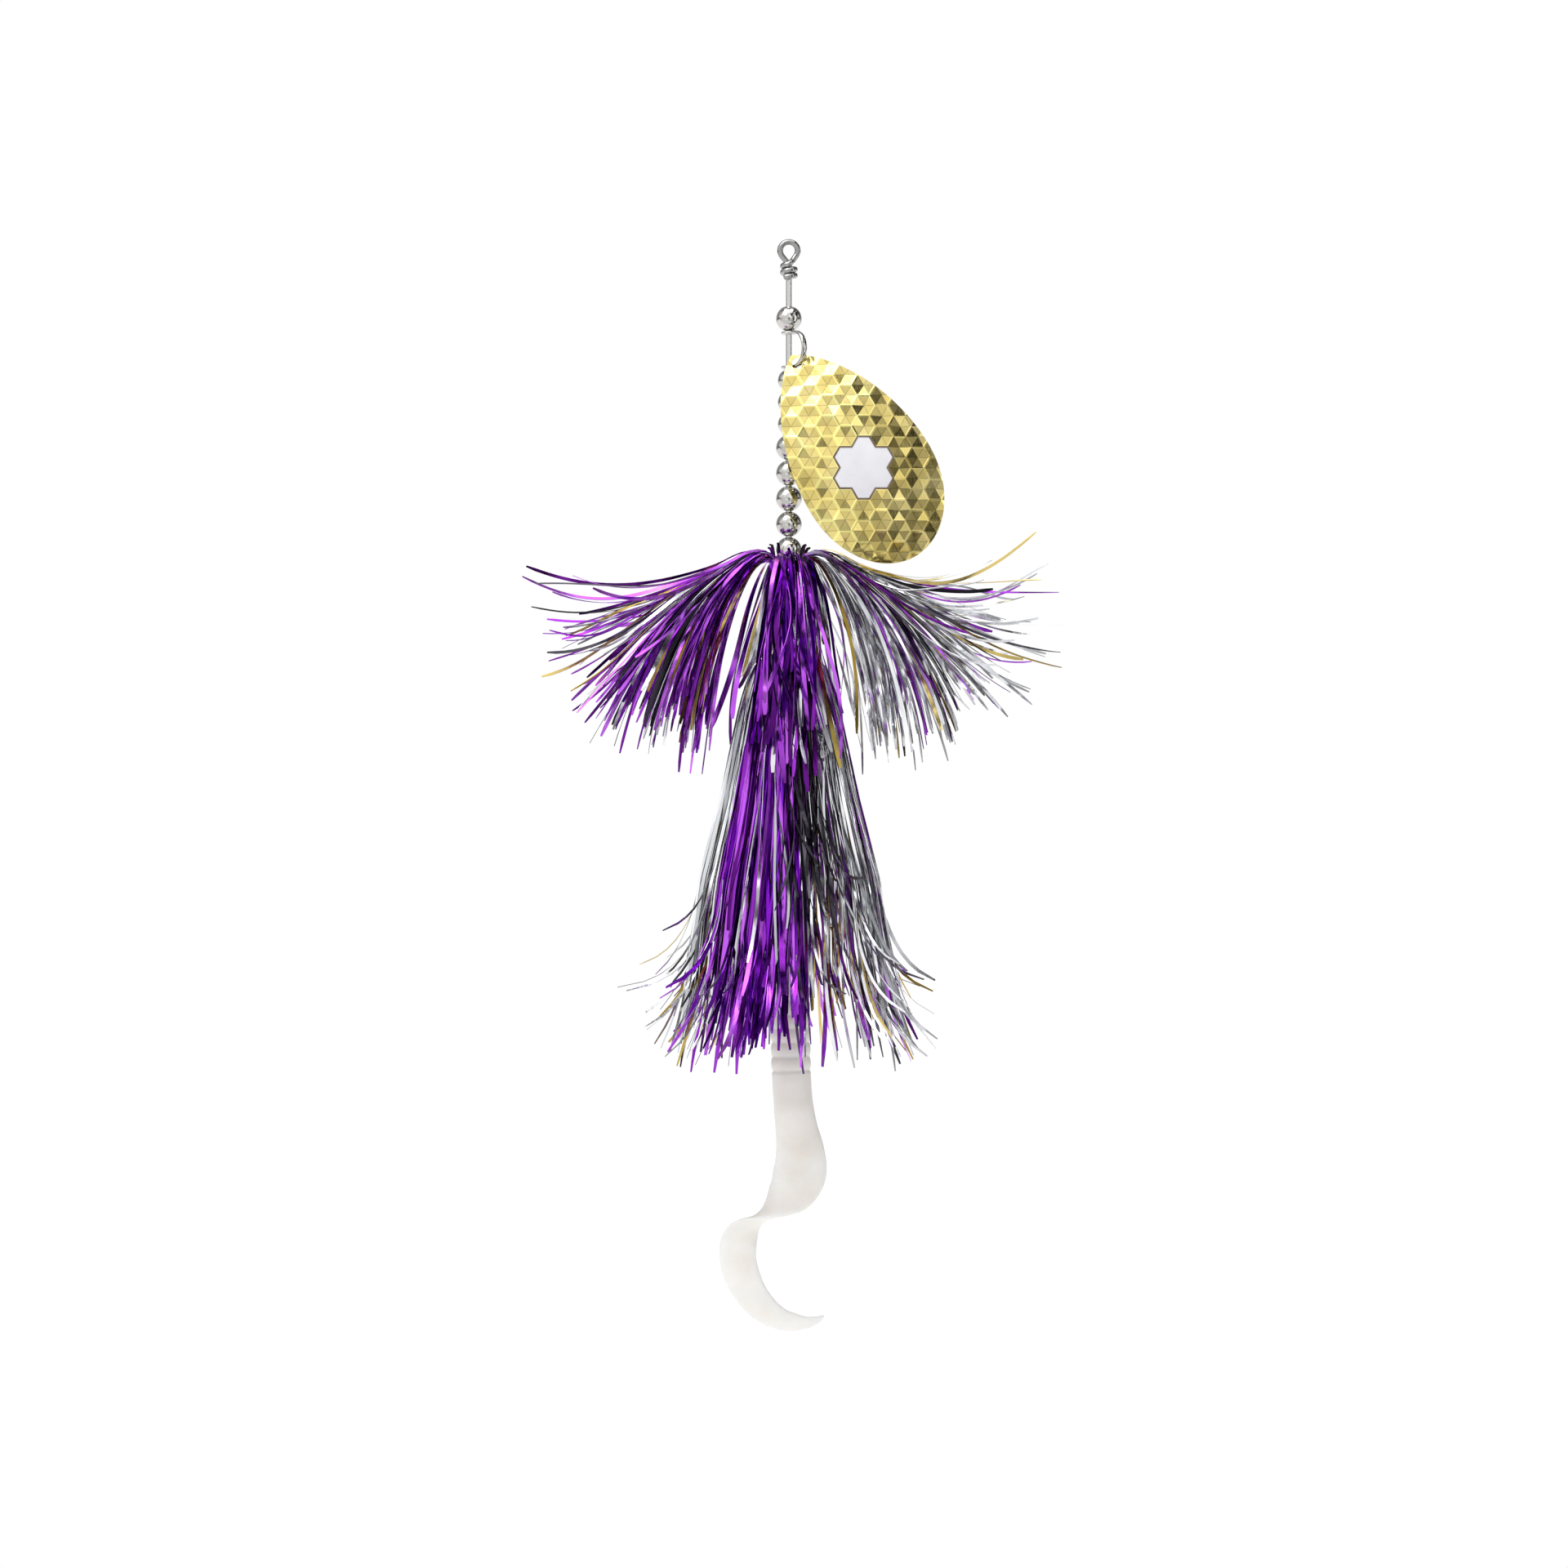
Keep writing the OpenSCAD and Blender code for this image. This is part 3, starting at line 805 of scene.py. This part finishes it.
# Courses of the upper strands as (radius, height), from those that fly out to those that hang
UPPER_COURSES = [
    [(3.2, -82.4), (3.7, -79.6), (5.6, -77.6), (9, -76.8), (13, -77.6), (18, -80.1), (25, -82),
     (34, -83.2), (44, -82.8), (54, -80.8), (64, -77.4), (76, -72.5)],
    [(3.2, -82.4), (3.7, -79.7), (5.5, -77.8), (9, -77), (13, -78), (20, -81.6), (29, -87),
     (38, -93), (47, -98.8), (56, -103.6), (65, -107), (72, -108.8)],
    [(3.2, -82.4), (3.6, -80), (5.2, -78.2), (8.5, -77.4), (12.5, -78.6), (18.5, -83), (25.5, -89.8),
     (32, -98.4), (37.6, -108), (42, -118.5), (45, -129), (47, -138)],
    [(3.2, -82.4), (3.6, -80.2), (5, -78.5), (8, -77.9), (11.5, -79.6), (16.6, -85), (21.6, -93),
     (25.4, -103), (28, -114), (29.4, -125), (29.8, -136), (29.6, -146)],
    [(3.2, -82.4), (3.5, -80.5), (4.8, -79.2), (6.8, -79.3), (9, -82.2), (11.2, -89), (12.8, -98),
     (13.9, -106), (15, -112), (16.4, -120), (18.2, -130), (20.2, -140), (22, -152)],
]
COURSE_STEPS = np.linspace(0, 78, 79)


def even_course(points):
    """A course as (radius, height) at every millimetre of its length."""
    fine = curve_through(points, 400)
    run = np.concatenate([[0], np.cumsum(np.linalg.norm(np.diff(fine, axis=0), axis=1))])
    return np.stack([np.interp(COURSE_STEPS, run, fine[:, k]) for k in (0, 1)], axis=1)


UPPER_EVEN = [even_course(points) for points in UPPER_COURSES]


def upper_strand(azimuth, droop, length, flick):
    """Strand that rises from its thread, turns over and falls; droop runs from 0 to 4 over the courses."""
    s = np.linspace(0, 1, 30)
    i = min(3, int(droop))
    course = UPPER_EVEN[i] * (1 - droop + i) + UPPER_EVEN[i + 1] * (droop - i)
    r = np.interp(s * length, COURSE_STEPS, course[:, 0]) + rng.uniform(-0.2, 0.4)
    z = np.interp(s * length, COURSE_STEPS, course[:, 1]) + rng.uniform(-0.3, 0.1)
    tip = np.clip(s - 0.55, 0, 1) / 0.45
    z = z + flick * tip**2 - abs(rng.gauss(0, 2.4)) * s
    wave = rng.gauss(0, 0.8)
    z = z + wave * np.sin(s * rng.uniform(6, 11) + rng.random() * 6) * s
    z = np.minimum(z, envelope(r) - 0.1 - 1.2 * rng.random() ** 2)
    drift = rng.gauss(0, 4.2)
    sway = rng.gauss(0, 2.2)
    side = drift * s**1.6 + sway * np.sin(s * 5 + rng.random() * 6) * s
    return place_course(r, z, side, azimuth)


# Lobes: azimuth, spread, strands of each colour, lowest and highest droop, shortest and longest.
# The two side lobes fly out; the back and front lobes hang close to the shaft.
UPPER_LOBES = [
    (180, 17, {"purple": 156, "black": 34, "gold": 13, "silver": 34}, 0.0, 3.6, 54, 70),
    (270, 13, {"purple": 66, "black": 7, "silver": 9, "gold": 2}, 3.0, 4.0, 34, 62),
    (0, 17, {"silver": 164, "black": 15, "purple": 26, "gold": 12}, 0.0, 3.6, 54, 70),
    (90, 15, {"silver": 50, "gold": 18, "purple": 10, "black": 6}, 2.0, 3.8, 44, 64),
]


# Colours of a side lobe that lie higher in it, by the lobe's azimuth
LIFTED = {180: ("black", "silver"), 0: ("black", "purple")}


def build_upper_skirt():
    strands = {name: [] for name in FILMS}
    for azimuth, spread, numbers, low, high, short, long in UPPER_LOBES:
        side_lobe = azimuth in LIFTED
        for colour, number in numbers.items():
            for _ in range(number):
                a = math.radians(azimuth + rng.gauss(0, spread))
                droop = low + (high - low) * rng.random() ** 0.62
                if side_lobe and colour in LIFTED[azimuth]:
                    droop *= 0.75
                length = rng.uniform(short, long)
                if side_lobe:
                    length -= 5 * max(0, droop - 1.4)
                    # A few long strands fly out past the rest
                    if droop < 1.5 and rng.random() < 0.25:
                        length = rng.uniform(70, 77)
                flick = rng.uniform(-3, 9) if droop < 1.3 else rng.uniform(-6, 4)
                path = upper_strand(a, droop, length, flick)
                width = rng.uniform(0.4, 1.0) if side_lobe else rng.uniform(0.8, 1.5)
                strands[colour].append(ribbon(path, width, rng.uniform(0, math.pi), rng.gauss(0, 2.2)))
    # Short cut ends that stand up round the last bead
    for k in range(9):
        a = math.radians(k * 40 + rng.uniform(-15, 15))
        top = rng.uniform(-77.2, -75.4)
        lean = rng.uniform(-1.2, 1.2)
        course = [(3.2, 0, -80.5), (3.9, 0, -78.8), (4.6, lean / 2, top), (5.5, lean, top + 0.5)]
        r, side, z = curve_through(course, 8).T
        path = place_course(r, z, side, a)
        strands["purple" if k % 2 else "black"].append(ribbon(path, 0.8, math.pi / 2, 0.5))
    for colour, found in strands.items():
        add_strands("upper", colour, found)


# Outside of the lower skirt: its radius at each height
LOWER_COURSE_Z = [-101, -106, -112, -118, -128, -140, -161, -186, -195, -207]
LOWER_COURSE_R = [6, 9.5, 11.8, 13.4, 15.6, 18.2, 23.5, 27, 28.5, 31]
# Of the 60 points of a strand, all those at its root are kept and every second one below
STRAND_POINTS = np.concatenate([np.arange(0, 6), np.linspace(6, 59, 26).astype(int)])


def lower_strand(azimuth, fullness, length, flare):
    """Strand that turns over at the thread and hangs; flare opens its last quarter."""
    s = np.linspace(0, 1, 60)
    z = -101.5 - (length - 6) * s
    # Above the upper skirt's tips no strand stands out further than those tips
    r = np.interp(z, LOWER_COURSE_Z[::-1], LOWER_COURSE_R[::-1])
    r = r * np.interp(z, [-170, -140], [fullness, min(fullness, 1)])
    r = r + flare * (np.clip(s - 0.66, 0, 1) / 0.34) ** 2.4
    z = z + 0.3 * max(0.0, flare) * (np.clip(s - 0.85, 0, 1) / 0.15) ** 2
    root = np.clip(s / 0.07, 0, 1)
    r = 3.0 + (r - 3.0) * np.sin(root * math.pi / 2) ** 0.8
    z = z + (1 - root) * -1.5 + 1.4 * np.sin(root * math.pi) - 0.6
    drift = rng.gauss(0, 4.0)
    sway = rng.gauss(0, 1.5)
    side = drift * s**1.5 + sway * np.sin(s * 7 + rng.random() * 6) * s
    return place_course(r, z, side, azimuth)[STRAND_POINTS]


# Colours of the strands up to each azimuth: the front runs purple, black, silver
LOWER_BANDS = [
    (160, ["silver", "silver", "purple", "black", "gold"]),
    (226, ["silver"] * 6 + ["gold", "black"]),
    (276, ["purple"] * 8 + ["silver", "black"]),
    (302, ["purple", "silver", "purple", "gold", "silver", "purple"]),
    (361, ["silver"] * 9 + ["black", "gold"]),
]
# More strands at the front: first and last azimuth, colour, number, fullness, length
LOWER_FRONT = [
    (226, 276, "purple", 84, (0.86, 1.04), (90, 113)),
    (276, 294, "black", 42, (0.96, 1.05), (52, 84)),
    (196, 226, "silver", 14, (0.96, 1.06), (80, 112)),
    (236, 282, "silver", 6, (1.03, 1.07), (70, 108)),
    (300, 340, "silver", 16, (0.98, 1.08), (80, 112)),
]


# Turn from one strand to the next that spreads any number of them evenly
GOLDEN_ANGLE = 137.508


def build_lower_skirt():
    strands = {name: [] for name in FILMS}
    places = [(k * GOLDEN_ANGLE % 360, None, (0.8, 1.0), (90, 113)) for k in range(300)]
    for first, last, colour, number, fullness, length in LOWER_FRONT:
        places += [(rng.uniform(first, last), colour, fullness, length) for _ in range(number)]
    for azimuth, colour, fullness, length in places:
        colour = colour or rng.choice(next(choice for end, choice in LOWER_BANDS if azimuth < end))
        length = rng.uniform(*length)
        flare = min(15, abs(rng.gauss(0, 6.5))) - 1.5
        # A few strands kick right out
        if rng.random() < 0.06:
            flare = rng.uniform(12, 21)
            length = min(length, 98)
        fullness = rng.uniform(*fullness)
        # At the back the strands leave room for the hook's point
        if 40 < azimuth < 140:
            fullness = max(fullness, 1.02)
        path = lower_strand(math.radians(azimuth), fullness, length, flare)
        width = rng.uniform(0.7, 1.5) if colour == "purple" else rng.uniform(0.45, 1.0)
        strands[colour].append(ribbon(path, width, rng.uniform(0, math.pi), rng.gauss(0, 2.5)))
    # One wide crumpled strip of film that hangs at the front
    strip = curve_through([(3.5, -7, -102), (6, -10.5, -106), (7.5, -12.5, -118), (8.5, -15, -130)], 26)
    strands["silver"].append(ribbon(strip, 1.7, 1.2, 9.0))
    for colour, found in strands.items():
        add_strands("lower", colour, found)


def build_skirt_cores():
    """Each skirt's sleeve and the thread wound on it."""
    lip = 0.15
    thread_r = 0.16
    steps = 40
    for side in ("upper", "lower"):
        body = f"{side}_skirt"
        bottom, top = span(f"{side}_sleeve")
        left, right = span(f"{side}_sleeve", "x")
        outer = (right - left) / 2
        profile = [
            (outer - lip, top), (outer, top - lip), (outer, bottom + lip), (outer - lip, bottom),
            (BORE_R, bottom), (BORE_R, top),
        ]
        verts, faces = lathe(profile, 0, 64)
        add_mesh(f"{side}_tube", verts, faces, SLEEVE, body, f"{side}_sleeve", angle=30)
        low, high = span(f"{side}_thread")
        radius = span(f"{side}_thread", "x")[1] - thread_r
        turns = int((high - low) / (2 * thread_r)) - 1
        winding = []
        for i in range(turns * steps + 1):
            a = 2 * math.pi * i / steps
            z = low + 2 * thread_r * (1 + i / steps)
            winding.append((radius * math.cos(a), radius * math.sin(a), z))
        verts, faces = tube(winding, thread_r, 8)
        add_mesh(f"{side}_winding", verts, faces, THREAD, body, f"{side}_thread")
        low += thread_r
        high -= thread_r
        verts, faces = lathe([(radius, high), (radius, low), (outer, low), (outer, high)], 0, 48)
        add_mesh(f"{side}_winding_core", verts, faces, THREAD, body, f"{side}_thread", angle=30)


# -------------------------------------------------------------- ring, hook, grub


def build_split_ring():
    """Two flat coils side by side; the wire steps across between 330 and 360 degrees."""
    low, high = span("split_ring")
    wire_r = 0.4
    radius = (high - low) / 2 - wire_r
    path = []
    for degrees in range(0, 676, 9):
        a = math.radians(degrees)
        f = min(1, max(0, (degrees - 330) / 30))
        f = f * f * (3 - 2 * f)
        across = (wire_r + 0.01) * (2 * f - 1)
        path.append((across, radius * math.cos(a), (low + high) / 2 + radius * math.sin(a)))
    verts, faces = tube(path, wire_r, 14)
    add_mesh("split_ring_coil", verts, faces, STEEL, "split_ring", "split_ring", angle=40)


def build_hook():
    wire_r = 0.95
    eye_r = 2.6
    bend_r = 8
    bend_z = -194
    point_z = -177
    point_l = 6
    eye_z = span("hook")[1] - wire_r - eye_r
    shank_top = eye_z - eye_r - 2.2
    loop = [
        (eye_r * math.sin(a), 0, eye_z - eye_r * math.cos(a))
        for a in np.linspace(2 * math.pi - 0.45, 0.55, 30)
    ]
    shank = [(0, 0, z) for z in np.linspace(shank_top, bend_z + 4, 14)]
    bend = [
        (0, bend_r - bend_r * math.cos(a), bend_z - bend_r * math.sin(a))
        for a in np.linspace(0, math.pi, 26)
    ]
    leg = [(0, 2 * bend_r, z) for z in np.linspace(bend_z + 3, point_z, 10)]
    path = curve_through(loop + shank + bend + leg, 240)
    to_point = np.linalg.norm(path - path[-1], axis=1)
    radius = np.maximum(0.08, wire_r * np.minimum(1, to_point / point_l) ** 0.75)
    verts, faces = tube(path, radius, 18)
    add_mesh("hook_wire", verts, faces, HOOK_STEEL, "hook", "hook", angle=40)
    # The barb is a thin wedge on the inner side of the point
    inner = 2 * bend_r - 0.35
    barb = []
    for x in (-0.28, 0.28):
        barb += [
            (x, inner, point_z - 6.8), (x, inner - 1.7, point_z - 7.4), (x, inner + 0.1, point_z - 3.0),
        ]
    faces = [(0, 1, 2), (5, 4, 3), (0, 3, 4, 1), (1, 4, 5, 2), (2, 5, 3, 0)]
    add_mesh("hook_barb", barb, faces, HOOK_STEEL, "hook", "hook", smooth=False)


# Grub from head to tail: x, z, half width, half thickness, turn of the width about the line
GRUB_COURSE = [
    (0.0, -163.0, 1.6, 1.6, 0),
    (0.0, -164.0, 3.6, 3.6, 0),
    (0.0, -166.0, 4.6, 4.6, 0),
    (0.1, -170.0, 4.9, 4.9, 0),
    (0.3, -190.0, 5.0, 5.0, 0),
    (0.5, -206.0, 5.0, 4.9, 0),
    (0.7, -212.0, 5.0, 4.6, 0),
    (1.1, -218.0, 5.05, 3.8, 0),
    (1.9, -224.3, 5.4, 2.5, 0),
    (2.9, -231.0, 6.3, 1.4, 0),
    (2.8, -236.0, 6.8, 1.05, 2),
    (1.0, -240.0, 6.5, 1.1, 14),
    (-2.0, -243.2, 5.8, 1.3, 42),
    (-5.0, -245.8, 5.0, 1.5, 72),
    (-7.9, -248.1, 4.5, 1.5, 102),
    (-10.6, -250.4, 4.6, 1.3, 140),
    (-12.6, -253.4, 4.7, 1.0, 172),
    (-13.1, -257.2, 4.7, 0.9, 180),
    (-12.3, -261.4, 4.6, 0.9, 180),
    (-10.2, -266.1, 4.2, 0.9, 180),
    (-7.6, -269.6, 3.8, 0.85, 180),
    (-4.7, -272.1, 3.3, 0.85, 180),
    (-1.8, -273.6, 2.8, 0.8, 180),
    (1.4, -274.3, 2.3, 0.75, 180),
    (4.4, -274.4, 1.6, 0.7, 180),
    (7.2, -273.7, 0.95, 0.5, 180),
    (9.0, -272.7, 0.3, 0.3, 180),
]
RIB_PITCH = 3.6
RIB_SWELL = 0.45
RIBS_TOP = -166.6
RIBS_BOTTOM = -210.5


def build_grub():
    course = curve_through(GRUB_COURSE, 420)
    path = np.stack([course[:, 0], np.zeros(len(course)), course[:, 1]], axis=1)
    tangent = np.gradient(path, axis=0)
    tangent /= np.linalg.norm(tangent, axis=1)[:, None]
    depth = np.array([0.0, 1.0, 0.0])
    rings = []
    sides = 40
    for i in range(len(path)):
        across = np.cross(depth, tangent[i])
        turn = math.radians(course[i, 4])
        wide = across * math.cos(turn) + depth * math.sin(turn)
        thick = np.cross(tangent[i], wide)
        half_w, half_t = course[i, 2], course[i, 3]
        z = path[i, 2]
        if RIBS_BOTTOM < z < RIBS_TOP:
            phase = ((RIBS_TOP - z) % RIB_PITCH) / RIB_PITCH
            swell = RIB_SWELL * (max(0.0, math.sin(phase * math.pi)) ** 0.6 - 0.75)
            half_w += swell
            half_t += swell
        ring = []
        for k in range(sides):
            c, s = math.cos(2 * math.pi * k / sides), math.sin(2 * math.pi * k / sides)
            ring.append(path[i] + wide * (half_w * c) + thick * (half_t * s))
        rings.append(ring)
    verts, faces = skin(rings)
    add_mesh("grub_body", verts, faces, GRUB, "hook", "grub")


# ----------------------------------------------------------------------- stage


def build_stage():
    """White floor sheet under the lure."""
    far, near = FLOOR_REACH, FLOOR_FRONT
    corners = [(-far, near, FLOOR_Z), (far, near, FLOOR_Z), (far, far, FLOOR_Z), (-far, far, FLOOR_Z)]
    mesh = new_mesh("floor", corners, [(0, 1, 2, 3)])
    mat, _, shader = new_material("floor_paper")
    shader.inputs["Base Color"].default_value = (0.2, 0.2, 0.2, 1)
    shader.inputs["Roughness"].default_value = 1.0
    shader.inputs["Specular IOR Level"].default_value = 0.0
    shader.inputs["Emission Color"].default_value = (1, 1, 1, 1)
    shader.inputs["Emission Strength"].default_value = 0.92
    mesh.materials.append(mat)
    new_object("floor", mesh)


def build_world():
    """White surroundings; metal reflects a studio, dark at the right and where the photographer stands."""
    world = bpy.data.worlds.new("studio")
    bpy.context.scene.world = world
    world.use_nodes = True
    tree = world.node_tree
    tree.nodes.clear()
    out = tree.nodes.new("ShaderNodeOutputWorld")
    seen = add_node(tree, "ShaderNodeBackground", {"Color": (1, 1, 1, 1), "Strength": 1.0})
    lit = add_node(tree, "ShaderNodeBackground", {"Strength": 1.0})
    mix = tree.nodes.new("ShaderNodeMixShader")
    path = tree.nodes.new("ShaderNodeLightPath")
    tree.links.new(path.outputs["Is Camera Ray"], mix.inputs["Fac"])
    tree.links.new(lit.outputs[0], mix.inputs[1])
    tree.links.new(seen.outputs[0], mix.inputs[2])
    tree.links.new(mix.outputs[0], out.inputs["Surface"])
    place = tree.nodes.new("ShaderNodeTexCoord")
    split = tree.nodes.new("ShaderNodeSeparateXYZ")
    tree.links.new(place.outputs["Generated"], split.inputs[0])
    # Direction round the lure: 0 is behind it, 0.25 the left, 0.5 the front, 0.75 the right
    towards_front = math_node(tree, "MULTIPLY", split.outputs["Y"], -1.0)
    turn = math_node(tree, "ARCTAN2", split.outputs["X"], towards_front)
    part = math_node(tree, "MULTIPLY_ADD", turn, 0.5 / math.pi, 0.5)
    # Height: 0 is straight down, 0.5 level, 1 straight up
    rise = math_node(tree, "MULTIPLY_ADD", split.outputs["Z"], 0.5, 0.5)
    level = ramp(
        tree, part,
        [(0.0, 0.35), (0.1, 0.35), (0.2, 0.15), (0.25, 0.2), (0.3, 0.75),
         (0.42, 1.0), (0.48, 0.9), (0.495, 0.25), (0.515, 0.25), (0.53, 0.9),
         (0.55, 0.9), (0.57, 0.4), (0.65, 0.25), (0.72, 0.22), (0.83, 0.4),
         (1.0, 0.35)],
    )
    above = ramp(
        tree, part,
        [(0.0, 0.5), (0.2, 0.4), (0.3, 1.0), (0.5, 1.0), (0.55, 0.9),
         (0.58, 0.4), (0.7, 0.35), (0.8, 0.4), (1.0, 0.5)],
    )
    high_up = ramp(tree, rise, [(0.0, 0.0), (0.53, 0.0), (0.6, 1.0), (1.0, 1.0)])
    # Dark patches, as of stands and people in a studio, are strong on the right only
    patches = add_node(tree, "ShaderNodeTexNoise", {"Scale": 2.7, "Detail": 1.0})
    tree.links.new(place.outputs["Generated"], patches.inputs["Vector"])
    strong = ramp(tree, patches.outputs["Fac"], [(0.44, 0.06), (0.53, 0.9), (0.6, 1.8)])
    weak = ramp(tree, patches.outputs["Fac"], [(0.4, 0.85), (0.6, 1.2)])
    where = ramp(
        tree, part,
        [(0.0, 0.5), (0.3, 0.0), (0.51, 0.0), (0.56, 1.0), (0.8, 1.0),
         (1.0, 0.5)],
    )
    patchy = mixed(tree, weak, strong, where)
    spotted = mixed(tree, mixed(tree, level, above, high_up), patchy, blend="MULTIPLY")
    # A light sheet lies under the lure, mostly in front of it and on the left
    below = ramp(tree, rise, [(0.0, 0.9), (0.32, 0.85), (0.44, 0.0), (1.0, 0.0)])
    beside = ramp(tree, part, [(0.0, 0.6), (0.3, 1.0), (0.5, 1.0), (0.55, 0.1), (0.8, 0.1), (1.0, 0.6)])
    sheet = math_node(tree, "MULTIPLY", below, beside)
    tree.links.new(mixed(tree, spotted, (0.86, 0.86, 0.86, 1), sheet), lit.inputs["Color"])


def add_light(name, place, target, size, power):
    """Square or oblong light; size is in metres and power in watts."""
    data = bpy.data.lights.new(name, "AREA")
    data.shape = "RECTANGLE"
    data.size, data.size_y = size
    data.energy = power
    obj = new_object(name, data)
    obj.location = [c * MM for c in place]
    aim = Vector([c * MM for c in target]) - obj.location
    obj.rotation_euler = aim.to_track_quat("-Z", "Y").to_euler()


def build_lights():
    middle_of_lure = (0, 0, -130)
    add_light("key_left", (-500, -500, 800), middle_of_lure, (0.7, 0.7), 3.4)
    add_light("strip_right", (800, -450, 50), middle_of_lure, (0.12, 0.8), 0.7)
    add_light("top", (0, -150, 700), middle_of_lure, (0.8, 0.8), 2.4)


def build_camera():
    data = bpy.data.cameras.new("camera")
    data.lens = LENS
    data.sensor_width = SENSOR
    data.clip_start = 0.01
    obj = new_object("camera", data)
    obj.location = [c * MM for c in CAMERA_AT]
    obj.rotation_euler = (math.pi / 2, 0, 0)
    bpy.context.scene.camera = obj


build_camera()
build_world()
build_lights()
build_stage()
build_shaft()
build_beads()
build_clevis()
build_blade()
build_skirt_cores()
build_upper_skirt()
build_lower_skirt()
build_split_ring()
build_hook()
build_grub()
bpy.context.scene.view_settings.view_transform = "Standard"
